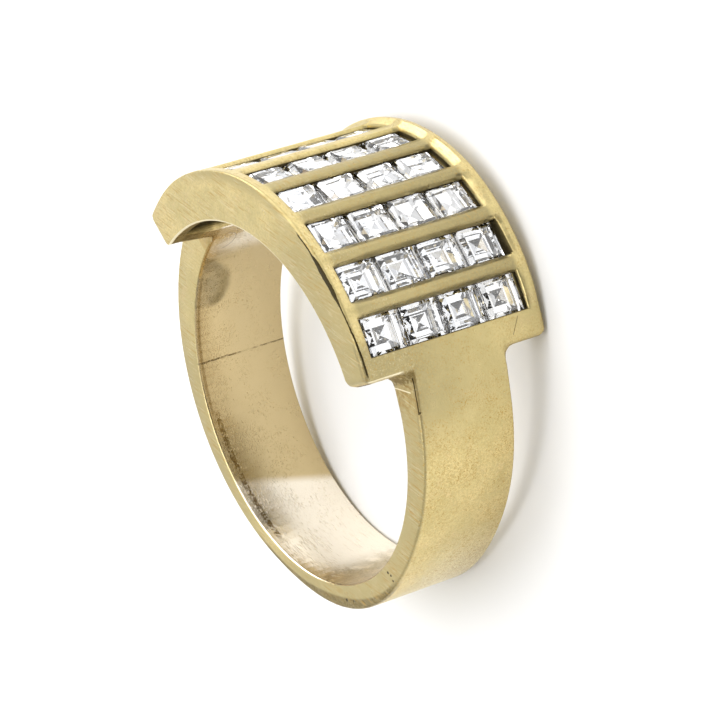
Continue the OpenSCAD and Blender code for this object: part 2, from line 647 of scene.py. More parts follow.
        def run(level: float, test: PlaceTest) -> EdgeTest:
            """Makes the test for the edges of one level whose two ends pass a test."""
            return lambda d: all(close(v.co.z, level) and test(v.co) for v in d.verts)

        def wing_run(level: float) -> EdgeTest:
            """Makes the test for the edges of one level along the end faces, beside the shank."""
            return lambda d: run(level, at_wing)(d) and abs(sum(v.co.y for v in d.verts)) > 2 * half_shank

        def post(half: float) -> EdgeTest:
            """Makes the test for the end faces' upright edges at a distance from the middle."""
            return lambda d: upright(d) and all(at_end(v.co) and close(abs(v.co.y), half) for v in d.verts)

        def window_rim(edge: bmesh.types.BMEdge) -> bool:
            """Finds the rims of the windows.

            Args:
                edge: An edge of the drawn band.

            Returns:
                Whether it is on a window's rim.
            """
            a, b = (v.co for v in edge.verts)
            middle = (a + b) / 2
            in_head = abs(middle.x) < end - NEAR and abs(middle.y) < half_row + NEAR
            from_rims = [abs(self.row_near(p.x) - half_window) for p in (a, b)]
            on_side = close(a.x, b.x) and max(from_rims) < SAME_ANGLE / 2
            on_end = all(close(abs(p.y), half_row) for p in (a, b)) and self.row_near(middle.x) < half_window
            return close(a.z, top) and close(b.z, top) and in_head and (on_side or on_end)

        marks: tuple[tuple[float, EdgeTest], ...] = (
            (e.corner, post(half_head)),
            (e.fillet, post(half_shank)),
            (e.head_top, run(top, lambda p: close(p.y, half_head))),
            (e.head_end, wing_run(top)),
            (e.shank_outer, run(top, beside_shank(end))),
            (e.shank_inner, run(inside, beside_shank(inner_end))),
            (e.front_top, run(top, lambda p: close(p.y, -half_head))),
            (e.rim, run(inside, lambda p: close(abs(p.y), half_head))),
            (e.rim_end, wing_run(inside)),
            (e.hollow, lambda d: run(inside, on_hollow_side)(d) or run(inside, on_hollow_end)(d)),
            (e.far_wing, run(top, at_far_wing)),
            (e.far_tip, run(inside, at_far_wing)),
            (e.window, window_rim),
        )
        for width, test in marks:
            count = bench.pick(Side.EDGES, test)
            bpy.ops.transform.edge_bevelweight(value=width / e.widest())
            log.info("%s: %d edges rounded by %.2f mm", self.name, count, width)

    def swell(self, bench: Bench) -> None:
        """Raises the bars and borders into rounded crests above the windows' rims.

        Args:
            bench: The bench with the flat band.
        """
        s = self.sizes
        top = self.depth(Level.TOP)
        cross = self.arc(s.crossing())
        lines = sorted({round(v.co.x, 4) for v in bmesh.from_edit_mesh(bench.piece.data).verts})
        for line in lines:
            angle = math.degrees(line / s.head_r)
            height, back_height = s.crest(angle), s.crest(angle, at_back=True)
            if back_height <= 0 or abs(line) > cross:
                continue
            near = self.row_near(line)
            in_window = near < s.window_half() + SAME_ANGLE and abs(angle) < s.row_angle(1) + s.seat_half()
            shoulder = abs(near - s.seat_half()) < SAME_ANGLE and abs(angle) < s.row_angle(1)
            pillow = height + (s.bar_pillow if s.pillowed[0] < angle < s.pillowed[1] else 0.0)
            bar = 0.0 if in_window else pillow * (s.bar_shoulder if shoulder else 1.0)
            rises = (
                (-s.head_w / 2, height * s.front_rise, 0.0),
                (-s.border_y, height, 0.0),
                *((y, bar, 0.0) for y in (-s.row_w / 2, -s.shank_w / 2, s.shank_w / 2, s.row_w / 2)),
                (s.border_y, back_height * s.back_border_rise, s.bulge(angle) / 2),
                (s.head_w / 2, back_height * s.back_rise, s.bulge(angle)),
            )
            for y, rise, aside in rises:
                if rise and bench.pick(
                    Side.VERTS,
                    lambda v: abs(v.co.x - line) < NEAR / 4 and close(v.co.y, y) and close(v.co.z, top),
                ):
                    bench.shift((0, aside, rise))

    def by_hand(self, bench: Bench) -> None:
        """Gives the band the small unevenness of handwork: its four ends and three windows' ends differ.

        Args:
            bench: The bench with the flat band.
        """
        s = self.sizes
        half_row, half_shank = s.row_w / 2, s.shank_w / 2
        for side, front, *turns in s.wing_shifts:
            for level, turn in zip((Level.TOP, Level.INSIDE), turns):
                line = side * self.arc(self.end_angle(level))
                bench.pick(Side.VERTS, lambda v: close(v.co.x, line) and v.co.y * front > half_shank - NEAR)
                bench.shift((side * self.arc(turn), 0, 0))
        for level in (Level.POCKET, Level.INSIDE):
            wall, depth = -self.arc(self.wall_angle(level)), self.depth(level)
            bench.pick(
                Side.VERTS,
                lambda v: close(v.co.x, wall) and close(v.co.z, depth) and abs(v.co.y) < half_row + NEAR,
            )
            bench.shift((-self.arc(s.far_wall_shift), 0, 0))
        for row, gap in s.longer_windows:
            middle, reach = self.arc(s.row_angle(row)), self.arc(s.window_half()) + NEAR
            bench.pick(
                Side.VERTS,
                lambda v: abs(v.co.x - middle) < reach
                and close(v.co.y, half_row)
                and v.co.z > self.depth(Level.LIP) - NEAR,
            )
            bench.shift((0, gap, 0))

    def bend(self, bench: Bench) -> None:
        """Bends the strip into the ring and draws each layer to its own circle.

        Args:
            bench: The bench with the weighed strip, in object mode.
        """
        s = self.sizes
        cross, far_cross = self.arc(s.crossing()), self.arc(self.end_angle() + s.far_cross_shift)
        wall, inner_end = self.arc(self.wall_angle(Level.INSIDE)), self.arc(self.end_angle(Level.INSIDE))
        top, inside = self.depth(Level.TOP), self.depth(Level.INSIDE)
        clear_of_wings = inner_end + s.wing_play

        def on_shank(p: Vector) -> bool:
            """Tells whether a place of the inside belongs to the shank and not to the head's rim."""
            return abs(p.x) > clear_of_wings or (abs(p.x) > wall - NEAR and abs(p.y) < s.shank_w / 2 + NEAR)

        def outside(p: Vector) -> bool:
            """Tells whether a place is on the shank's outside."""
            return abs(p.z - top) < s.crest_play and (p.x > cross + NEAR or p.x < -far_cross)

        def heel(p: Vector) -> float:
            """Gives how far a place takes part in the thicker lower side of the shank.

            Args:
                p: The place on the strip.

            Returns:
                The share, 1 in the heel's middle.
            """
            turn = (math.degrees(p.x / s.head_r) - s.heel_angle + 180) % 360 - 180
            in_heel = abs(turn) < s.heel_half and abs(p.z - top) < s.crest_play
            return math.cos(math.radians(90 * turn / s.heel_half)) ** 2 if in_heel else 0.0

        circles = (
            (bench.group("shank_out", outside), s.shank_r, s.shank_lean, s.shank_off),
            (bench.group("heel", heel), s.heel_r, 0.0, 0.0),
            (bench.group("finger", lambda p: close(p.z, inside) and on_shank(p)), s.finger_r, 0.0, 0.0),
            (bench.group("rim", lambda p: close(p.z, inside) and not on_shank(p)), s.rim_r, 0.0, 0.0),
        )
        bench.tip(math.pi / 2)
        bench.modify("SIMPLE_DEFORM", deform_method="BEND", deform_axis="Z", angle=2 * math.pi)
        bench.tip(-math.pi / 2, s.head_r + s.head_off)
        bench.tip(math.pi / 2)
        for name, radius, lean, lift in circles:
            bpy.ops.object.empty_add(location=(lean, -lift, 0))
            pin = bpy.context.object
            bench.modify(
                "CAST",
                cast_type="CYLINDER",
                vertex_group=name,
                object=pin,
                factor=1,
                size=radius,
                use_radius_as_size=False,
                use_z=False,
            )
            bpy.data.objects.remove(pin)
        bench.tip(-math.pi / 2)
        bpy.ops.object.mode_set(mode="EDIT")
        bpy.ops.mesh.select_all(action="SELECT")
        bpy.ops.mesh.remove_doubles(threshold=NEAR)
        bench.mend()
        bench.done()

    def round_off(self, bench: Bench) -> None:
        """Rounds every marked edge and smooths the curved faces.

        Args:
            bench: The bench with the bent band.
        """
        e = self.edges
        bench.modify(
            "BEVEL",
            limit_method="WEIGHT",
            width=e.widest(),
            segments=e.segments,
            offset_type="OFFSET",
            use_clamp_overlap=False,
            miter_outer="MITER_SHARP",
            harden_normals=False,
        )
        bench.only()
        bpy.ops.object.shade_smooth_by_angle(angle=math.radians(e.smooth_below))

    def build(self, rest: Matrix) -> bpy.types.Object:
        """Makes the finished band where it lies.

        Args:
            rest: The move from the upright ring to the laid one.

        Returns:
            The band's object.
        """
        bench = self.strip()
        self.tray(bench)
        self.plain_walls(bench)
        self.true_ends(bench)
        self.weigh(bench)
        self.swell(bench)
        self.by_hand(bench)
        bench.done()
        self.bend(bench)
        self.round_off(bench)
        bench.piece.matrix_world = rest
        bench.settle()
        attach(bench.piece, "root")
        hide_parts(self.node)
        return bench.piece


@dataclass(frozen=True)
class Camera:
    """The photograph's pinhole camera, in the upright ring's own frame."""

    azimuth: float = 55.107
    elevation: float = 30.435
    roll: float = 1.824
    distance: float = 157.053
    focal_px: float = 3549.403
    shift_right: float = 0.839
    shift_up: float = 1.133
    image_px: int = 720
    sensor_mm: float = 36.0
    clip: tuple[float, float] = (0.01, 10.0)

    def axes(self) -> tuple[Vector, Vector, Vector]:
        """Works out how the camera is turned.

        Returns:
            Its right, up and back directions in the upright ring's frame.
        """
        a, e, r = (math.radians(v) for v in (self.azimuth, self.elevation, self.roll))
        back = Vector((math.sin(a) * math.cos(e), -math.cos(a) * math.cos(e), math.sin(e)))
        level = Vector((math.cos(a), math.sin(a), 0.0))
        plumb = back.cross(level)
        right = math.cos(r) * level + math.sin(r) * plumb
        up = -math.sin(r) * level + math.cos(r) * plumb
        return right, up, back

    def place(self, rest: Matrix) -> bpy.types.Object:
        """Creates the camera and makes it the scene's own.

        Args:
            rest: The move from the upright ring to the laid one.

        Returns:
            The camera's object.
        """
        right, up, back = self.axes()
        eye = right * self.shift_right + up * self.shift_up + back * self.distance
        _, turn, _ = rest.decompose()
        facing = Matrix((right, up, back)).transposed().to_4x4()
        bpy.ops.object.camera_add()
        camera = bpy.context.object
        camera.name = "photo_camera"
        camera.matrix_world = Matrix.Translation(rest @ eye) @ turn.to_matrix().to_4x4() @ facing
        camera.data.sensor_width = self.sensor_mm
        camera.data.lens = self.focal_px * self.sensor_mm / self.image_px
        camera.data.clip_start, camera.data.clip_end = self.clip
        bpy.context.scene.camera = camera
        return camera


@dataclass(frozen=True)
class StoneCut:
    """A square step cut in millimetres: each level's share of the side and its height over the girdle."""

    side: float = 1.96
    girdle_t: float = 0.04
    # A level with less than this share of the side is the culet, whose size isn't varied
    culet_share: float = 0.1
    crown: tuple[tuple[float, float], ...] = ((0.9, 0.14), (0.66, 0.27))
    pavilion: tuple[tuple[float, float], ...] = ((0.7, -0.45), (0.36, -0.85), (0.02, -1.18))


DEEP_CUT = StoneCut()
FLAT_CUT = StoneCut(pavilion=((0.7, -0.42), (0.36, -0.74), (0.02, -0.93)))


@dataclass
class StoneRows:
    """The rows of stones, each cut a little differently and set a little unevenly."""

    band: BandSizes
    flat_rows: tuple[int, ...] = (1, 2)
    girdle_mark: str = "girdle"
    cols: int = 4
    pitch: float = 2.0
    girdle_rho: float = 9.19
    # The rows that are set wider: what their pitch has more, and how far they stand to the back
    wide_rows: dict[int, tuple[float, float]] = field(default_factory=lambda: {2: (0.03, 0.04)})
    # How far the stones differ: tipped and turned in degrees, cut as a share of their size
    seed: int = 27
    tip: float = 1.6
    turn: float = 1.2
    table_spread: float = 0.02
    pavilion_spread: float = 0.05
    drift_share: float = 0.6

    def master(self, cut: StoneCut) -> Bench:
        """Cuts the one stone that all of its cut are copied from.

        Args:
            cut: The cut.

        Returns:
            The bench with the stone, out of edit mode.
        """
        bench = Bench.start(bpy.ops.mesh.primitive_cube_add, "stone_master", size=1)
        bpy.ops.transform.resize(value=(cut.side, cut.side, cut.girdle_t))
        for side, levels in ((1, cut.crown), (-1, cut.pavilion)):
            bench.pick(Side.FACES, lambda f: f.normal.z * side > FLAT)
            share, height = 1.0, side * cut.girdle_t / 2
            for next_share, next_height in levels:
                bench.draw((0, 0, next_height - height))
                ratio = next_share / share
                bpy.ops.transform.resize(value=(ratio, ratio, 1), center_override=(0, 0, next_height))
                share, height = next_share, next_height
        bench.done()
        mesh = bench.piece.data
        frosted = mesh.attributes.new(self.girdle_mark, "FLOAT", "FACE")
        for face in mesh.polygons:
            frosted.data[face.index].value = float(abs(face.normal.z) < STANDING)
        return bench

    def place(self, row: int, col: int) -> Matrix:
        """Gives a seat's place in the upright ring.

        Args:
            row: The seat's row.
            col: Its place in the row, from the front.

        Returns:
            The move from a master's place to the seat.
        """
        lift = Matrix.Translation((0, 0, self.band.head_off))
        round_head = Matrix.Rotation(math.radians(self.band.row_angle(row)), 4, "Y")
        step, start = self.wide_rows.get(row, (0.0, 0.0))
        along = (col - (self.cols + 1) / 2) * (self.pitch + step) + start
        return lift @ round_head @ Matrix.Translation((0, along, self.girdle_rho))

    def build(self, rest: Matrix) -> list[bpy.types.Object]:
        """Makes every stone where it lies.

        Args:
            rest: The move from the upright ring to the laid one.

        Returns:
            The stones' objects.
        """
        masters = {cut: self.master(cut) for cut in (DEEP_CUT, FLAT_CUT)}
        dice = random.Random(self.seed)
        stones = []
        for row in range(1, self.band.rows + 1):
            cut = FLAT_CUT if row in self.flat_rows else DEEP_CUT
            master = masters[cut]
            for col in range(1, self.cols + 1):
                master.only()
                bpy.ops.object.duplicate(linked=False)
                bench = Bench(bpy.context.object)
                node = f"stone_r{row}_c{col}"
                bench.piece.name = f"{node}_cut"
                bench.piece.data.name = bench.piece.name
                bpy.ops.object.mode_set(mode="EDIT")
                self.vary(bench, cut, dice)
                bench.done()
                uneven = Matrix()
                for axis, most in (("X", self.tip), ("Y", self.tip), ("Z", self.turn)):
                    uneven @= Matrix.Rotation(math.radians(dice.uniform(-most, most)), 4, axis)
                bench.piece.matrix_world = rest @ self.place(row, col) @ uneven
                bench.settle()
                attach(bench.piece, "root")
                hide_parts(node)
                stones.append(bench.piece)
        for master in masters.values():
            bpy.data.objects.remove(master.piece)
        return stones

    def vary(self, bench: Bench, cut: StoneCut, dice: random.Random) -> None:
        """Shifts a stone's table and pavilion steps a little, as hand-cut stones differ.

        Args:
            bench: The bench with the stone in edit mode.
            cut: The stone's cut.
            dice: The seeded source of the differences.
        """
        for share, height in (cut.crown[-1], *cut.pavilion):
            spread = self.table_spread if height > 0 else self.pavilion_spread
            bench.pick(Side.VERTS, lambda v: close(v.co.z, height))
            grow = 1 + dice.uniform(-spread, spread) * (share > cut.culet_share)
            bpy.ops.transform.resize(value=(grow, grow, 1), center_override=(0, 0, height))
            aside, along = (dice.uniform(-spread, spread) * self.drift_share for _ in range(2))
            bench.shift((aside, along, 0))


class Field:
    """A number that varies over a surface, and that is reckoned with as plain numbers are."""

    def __init__(self, recipe: "Recipe", socket: bpy.types.NodeSocket) -> None:
        """Takes up a node's output of a recipe."""
        self.recipe = recipe
        self.socket = socket

    def __add__(self, other: "Number") -> "Field":
        """Adds a number."""
        return self.recipe.math("ADD", self, other)

    def __sub__(self, other: "Number") -> "Field":
        """Takes a number away."""
        return self.recipe.math("SUBTRACT", self, other)

    def __rsub__(self, other: "Number") -> "Field":
        """Is taken away from a number."""
        return self.recipe.math("SUBTRACT", other, self)

    def __mul__(self, other: "Number") -> "Field":
        """Multiplies by a number."""
        return self.recipe.math("MULTIPLY", self, other)

    def __abs__(self) -> "Field":
        """Drops the sign."""
        return self.recipe.math("ABSOLUTE", self)

    def wrap(self, high: float, low: float) -> "Field":
        """Brings the number between two ends by whole turns."""
        return self.recipe.math("WRAP", self, high, low)

    def rise(self, low: "Number", high: "Number", start: float = 0.0, end: float = 1.0) -> "Field":
        """Maps a range of the number smoothly to another range, and holds the ends beyond it.

        Args:
            low: Where the range starts.
            high: Where the range ends.
            start: The result below the range.
            end: The result above it.

        Returns:
            The mapped number.
        """
        inputs = {"Value": self, "From Min": low, "From Max": high, "To Min": start, "To Max": end}
        node = self.recipe.node("MapRange", inputs, interpolation_type="SMOOTHSTEP")
        return Field(self.recipe, node.outputs["Result"])

    def fall(self, low: "Number", high: "Number") -> "Field":
        """Gives 1 below a range and 0 above it, with a smooth change between."""
        return self.rise(low, high, 1.0, 0.0)

    def near(self, target: "Number", width: float, soft: float) -> "Field":
        """Gives 1 within a width of a target, with soft edges."""
        return abs(self - target).fall(width, width + soft)


Number = Union[Field, float]
Source = Union[Field, bpy.types.NodeSocket, Vector, tuple, float]
Colour = Union[bpy.types.NodeSocket, tuple]
Owner = Union[bpy.types.Material, bpy.types.World]


def strongest(mask: Field, *others: Number) -> Field:
    """Gives the highest of several masks.

    Args:
        mask: The first mask.
        *others: The masks that it is compared with.

    Returns:
        The mask that is as high as the highest of them everywhere.
    """
    for other in others:
        mask = mask.recipe.math("MAXIMUM", mask, other)
    return mask


class Recipe:
    """A node tree, written from the coordinates towards the shader."""

    def __init__(self, owner: Owner, shader: str = "Principled BSDF") -> None:
        """Starts a recipe.

        Args:
            owner: The material or world that the recipe is for.
            shader: The name of the shader that it ends in.
        """
        self.owner = owner
        owner.use_nodes = True
        self.tree = owner.node_tree
        self.shader = self.tree.nodes[shader]

    def put(self, socket: bpy.types.NodeSocket, value: Source) -> None:
        """Links an input to what gives its value, or sets the value.

        Args:
            socket: The input.
            value: What it gets.
        """
        if isinstance(value, Field):
            value = value.socket
        if isinstance(value, bpy.types.NodeSocket):
            self.tree.links.new(value, socket)
        else:
            socket.default_value = value

    def node(self, kind: str, inputs: dict[Union[str, int], Source], **settings: str) -> bpy.types.Node:
        """Adds a node.

        Args:
            kind: The node's type.
            inputs: What its inputs get, by their names or places.
            **settings: Its own settings.

        Returns:
            The node.
        """
        node = self.tree.nodes.new(f"ShaderNode{kind}")
        for name, setting in settings.items():
            setattr(node, name, setting)
        for name, value in inputs.items():
            self.put(node.inputs[name], value)
        return node

    def shade(self, inputs: dict[str, Source]) -> None:
        """Gives the shader its inputs, by their names."""
        for name, value in inputs.items():
            self.put(self.shader.inputs[name], value)

    def coordinates(self, kind: str = "Object") -> bpy.types.NodeSocket:
        """Gives the coordinates of a kind."""
        return self.node("TexCoord", {}).outputs[kind]

    def moved(self, place: Source, location: Source, rotation: Source, scale: Source) -> bpy.types.NodeSocket:
        """Moves, turns and sizes coordinates."""
        inputs = {"Vector": place, "Location": location, "Rotation": rotation, "Scale": scale}
        return self.node("Mapping", inputs).outputs["Vector"]

    def math(self, operation: str, *values: Number) -> Field:
        """Adds a number operation and gives its result."""
        return Field(self, self.node("Math", dict(enumerate(values)), operation=operation).outputs[0])

    def noise(
        self, place: Source, scale: float, detail: float = 3.0, rough: float = 0.5, twist: float = 0.0
    ) -> Field:
        """Gives the value of a noise: its octaves are counted by detail, and twist distorts it."""
        inputs = {"Vector": place, "Scale": scale, "Detail": detail, "Roughness": rough, "Distortion": twist}
        return Field(self, self.node("TexNoise", inputs).outputs["Fac"])

    def coats(self, tone: Colour, *layers: tuple[Number, Colour]) -> Colour:
        """Lays colours over a first one.

        Args:
            tone: The first colour.
            *layers: Each layer's share and colour, from the lowest up.

        Returns:
            The colour that shows.
        """
        for share, colour in layers:
            inputs = {"Factor": share, "A": tone, "B": colour}
            tone = self.node("Mix", inputs, data_type="RGBA").outputs["Result"]
        return tone

    def bump(self, height: Field, strength: float, distance: float) -> None:
        """Feeds a height into the shader's normal, over any bump that is there already.

        Args:
            height: The height, as a share of the distance.
            strength: The bump's strength.
            distance: How far a height of 1 stands out, in metres.
        """
        normal = self.shader.inputs["Normal"]
        inputs = {"Strength": strength, "Distance": distance, "Height": height}
        if normal.is_linked:
            inputs["Normal"] = normal.links[0].from_socket
        self.put(normal, self.node("Bump", inputs).outputs["Normal"])


class RingPlace:
    """A recipe's coordinates in the upright ring, in millimetres and degrees."""

    def __init__(self, recipe: Recipe, rest: Matrix, sizes: BandSizes) -> None:
        """Turns object coordinates back to the upright ring.

        Args:
            recipe: The recipe that uses the coordinates.
            rest: The move from the upright ring to the laid one.
            sizes: The band's sizes.
        """
        self.recipe = recipe
        self.sizes = sizes
        location, turn, scale = rest.inverted().decompose()
        self.vector = recipe.moved(recipe.coordinates(), location, turn.to_euler(), scale)
        split = recipe.node("SeparateXYZ", {0: self.vector})
        self.x, self.y, self.z = (Field(recipe, part) for part in split.outputs)
        self.rho, self.theta = self.about(0.0)
        self.head_rho, self.head_theta = self.about(sizes.head_off)
        self.round_way = self.theta.wrap(360.0, 0.0)
        self.on_top = self.head_rho.rise(sizes.head_r - 0.3, sizes.head_r - 0.2)
        self.on_inside = self.rho.fall(sizes.finger_r + 0.1, sizes.finger_r + 0.15)

    def about(self, lift: float) -> tuple[Field, Field]:
        """Gives the place about a centre on the ring's middle line.

        Args:
            lift: How far the centre lies above the finger's.

        Returns:
            The distance from the centre, and the angle from the crown.
        """
        m = self.recipe.math
        up = self.z - lift
        return m("SQRT", self.x * self.x + up * up), m("DEGREES", m("ARCTAN2", self.x, up))

    def noise(self, scale: float, detail: float = 3.0, rough: float = 0.5, twist: float = 0.0) -> Field:
        """Gives a noise over the ring."""
        return self.recipe.noise(self.vector, scale, detail, rough, twist)

    def away(self, centre: tuple[float, float, float]) -> Field:
        """Gives the distance from a point of the ring."""
        node = self.recipe.node("VectorMath", {0: self.vector, 1: centre}, operation="DISTANCE")
        return Field(self.recipe, node.outputs["Value"])


@dataclass(frozen=True)
class Pit:
    """A small pit: its centre in the upright ring, its radius and how far its edge fades."""

    centre: tuple[float, float, float]
    radius: float
    soft: float = 0.04


@dataclass(frozen=True)
class GoldFinish:
    """Pale yellow gold, satin from wear outside and glossier inside, where its darker, warmer tone is painted
    shade; with painted shade, highlights and a reflection elsewhere, and the marks of its making.
    """

    pale: tuple = (0.77, 0.625, 0.295, 1)
    green: tuple = (0.65, 0.54, 0.245, 1)
    rose: tuple = (0.8, 0.61, 0.335, 1)
    dust: tuple = (0.5, 0.41, 0.19, 1)
    shade: tuple = (0.42, 0.35, 0.17, 1)
    bar_shade: tuple = (0.36, 0.3, 0.15, 1)
    # The inner tone is the same gold made darker and warmer: painted shade over the whole inside.
    inner: tuple = (0.61, 0.485, 0.265, 1)
    # Near-white gold for the painted highlights on the inside.
    inner_highlight: tuple = (1.0, 0.92, 0.78, 1)
    inner_olive: tuple = (0.36, 0.29, 0.16, 1)
    amber: tuple = (0.5, 0.33, 0.1, 1)
    dark_amber: tuple = (0.2, 0.12, 0.03, 1)
    brown: tuple = (0.4, 0.28, 0.11, 1)
    umber: tuple = (0.17, 0.12, 0.035, 1)
    # Paler gold, used only for painted highlights and glints.
    bright: tuple = (0.97, 0.88, 0.62, 1)
    # Near-black, for the real seams, scratches and pits, and for painted shade in the channels.
    marks_and_shade: tuple = (0.035, 0.025, 0.01, 1)
    roughness: tuple[float, float] = (0.27, 0.4)
    inner_roughness: tuple[float, float] = (0.14, 0.22)
    loop_centre: tuple[float, float, float] = (-7.3, -1.6, 4.35)
    loop_r: float = 0.62
    pits: tuple[Pit, ...] = (
        Pit((9.22, -2.33, 4.07), 0.05, 0.05),
        Pit((7.39, -2.35, -4.91), 0.045),
        Pit((7.62, -2.35, -4.93), 0.035),
        Pit((7.8, -2.35, -5.1), 0.03),
        Pit((4.36, -2.33, -8.09), 0.05, 0.05),
        Pit((4.9, -2.33, -7.85), 0.03),
    )
    hair_turns: tuple[tuple[float, float, float], ...] = (
        (0.3, 0.2, 0.1),
        (1.2, 0.5, 0.9),
        (0.4, 1.3, 2.2),
        (2.1, 0.8, 1.5),
    )

    def make(self, rest: Matrix, sizes: BandSizes) -> bpy.types.Material:
        """Mixes the gold.

        Args:
            rest: The move from the upright ring to the laid one.
            sizes: The band's sizes, which place the marks.

        Returns:
            The gold material.
        """
        r = Recipe(bpy.data.materials.new("worn_gold"))
        place = RingPlace(r, rest, sizes)
        inside = place.rho.fall(sizes.finger_r + 0.02, sizes.finger_r + 0.07)
        outside = 1.0 - inside
        worn = place.noise(11.0, 3.0, 0.75) * (outside * 0.75 + 0.25)
        hair, marks = self.hairs(place, 0.0), self.marks(place)
        seats, brown_under_end = self.seats(place), self.brown_under_end(place)
        # Fine scratches on the front faces, painted as paler glints.
        hair_glints = self.hairs(place, 7.3) * (outside * place.y.rise(-2.2, -2.1, 0.2, 0.0))
        scratched = place.theta.near(105.0, 35.0, 15.0) * place.rho.rise(8.8, 8.9)
        tone = r.coats(
            self.outside_tone(place),
            (inside, self.inside_tone(place)),
            (worn.rise(0.4, 0.62, 0.0, 0.5), self.dust),
            (hair_glints, self.bright),
            (hair * (scratched * 0.35 + outside * 0.5 + 0.1), self.amber),
            # Brownish place on the shank's side under the head's end, darkest just below the end.
            (brown_under_end * 0.7, self.brown),
            (brown_under_end * place.theta.near(57.2, 1.0, 1.0) * 0.6, self.umber),
            (self.amber_line(place) * 0.85, self.dark_amber),
            # Painted shade on the rim's underside at the hidden end.
            (self.under_wing(place) * 0.9, self.umber),
            # Painted highlights on the front rim, the head's end edge and a scratch.
            (self.painted_highlights(place) * 0.85, self.bright),
            # Painted shade in the channels' walls and gaps.
            (seats * 0.9, self.marks_and_shade),
            (marks * 0.95, self.marks_and_shade),
        )
        satin = place.noise(2.2, 3.0, 0.6).rise(0.3, 0.7, *self.roughness)
        bright = place.noise(1.1, 2.0, 0.5).rise(0.3, 0.7, *self.inner_roughness)
        rubbed = (
            place.y.near(-sizes.head_w / 2, 0.1, 0.05)
            * place.theta.near(30.0, 26.0, 6.0)
            * place.head_rho.rise(sizes.head_r - 0.15, sizes.head_r - 0.08)
        )
        rough = satin * outside + bright * inside + hair * 0.12 + strongest(brown_under_end, seats, rubbed) * 0.25
        r.shade({"Base Color": tone, "Metallic": 1.0, "Roughness": rough})
        r.bump(place.noise(0.8, 2.0, 0.5), 0.5, 0.025 * MM)
        r.bump(worn, 0.6, 0.016 * MM)
        r.bump(self.crown_of_bars(place), 1.0, 0.14 * MM)
        r.bump(hair, 0.35, -0.012 * MM)
        r.bump(marks, 0.9, -0.06 * MM)
        return r.owner

    def crown_of_bars(self, place: RingPlace) -> Field:
        """Gives the bars' rounded height, which falls towards the windows.

        Args:
            place: The coordinates in the upright ring.

        Returns:
            The height, 1 along the bars' middles and everywhere off the bars.
        """
        s = place.sizes
        half_pitch = s.row_pitch / 2
        half_bar = half_pitch - s.window_half()
        from_bar = abs(place.head_theta.wrap(half_pitch, -half_pitch))
        rounded = from_bar.fall(half_bar * 0.35, half_bar * 1.15)
        in_rows = place.head_theta.near(0.0, 53.0, 1.0) * place.y.near(0.0, s.row_w / 2 - 0.3, 0.4)
        on_bars = place.on_top * in_rows
        return (1.0 - on_bars) + rounded * on_bars

    def outside_tone(self, place: RingPlace) -> Colour:
        """Mixes the outer colour: cloudy yellow, with greener and rosier places, amber rubs, painted shade on
        the front faces, the bars, the plate's ends and a hidden fillet, a painted shadow along the shank's
        lower front edge, and a painted highlight low on the shank.

        Args:
            place: The coordinates in the upright ring.

        Returns:
            The colour.
        """
        r, s = place.recipe, place.sizes
        theta, round_way, y = place.theta, place.round_way, place.y
        on_shank = place.rho.rise(9.0, 9.1)
        # Painted shade on the head's front face, along its upper edge near the crown and towards its lower
        # end.
        high_edge = place.head_rho.rise(8.9, 9.55) * theta.near(-8.0, 14.0, 14.0)
        low_part = theta.rise(2.0, 22.0, 0.0, 0.92)
        head_front = y.fall(-s.head_w / 2 + 0.06, -s.head_w / 2 + 0.16) * strongest(high_edge, low_part)
        # Painted shade on the shank's front faces, most on its right and left sides.
        right_side, left_side = round_way.near(118.0, 58.0, 24.0) * 0.9, theta.near(-125.0, 12.0, 40.0)
        shank_front = y.near(-s.shank_w / 2, 0.06, 0.12) * strongest(right_side, left_side, 0.3)
        # Painted shade on the bars, most at the back, and on the plate's ends, most at the front.
        on_bars = y.near(0.0, s.row_w / 2 - 0.1, 0.3) * theta.near(21.0, 21.0, 3.0) * place.on_top
        bars = on_bars * y.rise(-3.0, 3.5, 0.75, 1.0)
        on_plate_end = theta.rise(44.0, 49.0) * theta.fall(62.0, 82.0) * place.on_top
        plate_end = on_plate_end * y.rise(-3.5, 3.0, 1.0, 0.35)
        # Painted shadow along the shank's lower outer front edge.
        foot_start = round_way.rise(125.0, 165.0, 9.3, 8.93)
        on_foot = y.near(-s.shank_w / 2 + 0.05, 0.12, 0.12) * place.rho.rise(foot_start, foot_start + 0.14)
        foot = round_way.near(160.0, 30.0, 12.0) * on_foot
        # Painted highlight low on the shank, towards the back.
        shank_highlight = round_way.near(155.0, 20.0, 35.0) * y.rise(-1.8, 0.8) * on_shank * 0.85
        strokes = r.moved(place.vector, (2.0, 0.0, 0.0), (0.5, 0.9, 0.3), (1.0, 4.5, 4.5))
        streaks = r.noise(strokes, 2.0, 5.0, 0.7, 1.4).rise(0.52, 0.56)
        rubs = streaks * theta.near(104.0, 26.0, 12.0) * on_shank
        # Painted shade in the fillet under the hidden wing.
        hidden_fillet = theta.near(-59.5, 3.0, 1.0) * y.near(-2.75, 0.45, 0.2) * place.rho.fall(9.3, 9.8)
        return r.coats(
            self.pale,
            (place.noise(0.45, 3.0, 0.6).rise(0.35, 0.65), self.green),
            (place.noise(0.9, 4.0, 0.65, 0.6).rise(0.52, 0.75, 0.0, 0.45), self.rose),
            (shank_highlight, self.bright),
            (rubs * 0.45, self.amber),
            (strongest(head_front, shank_front) * 0.7, self.shade),
            (strongest(bars, plate_end * 0.95), self.bar_shade),
            (hidden_fillet * 0.65, self.amber),
            (foot * 0.95, self.umber),
        )

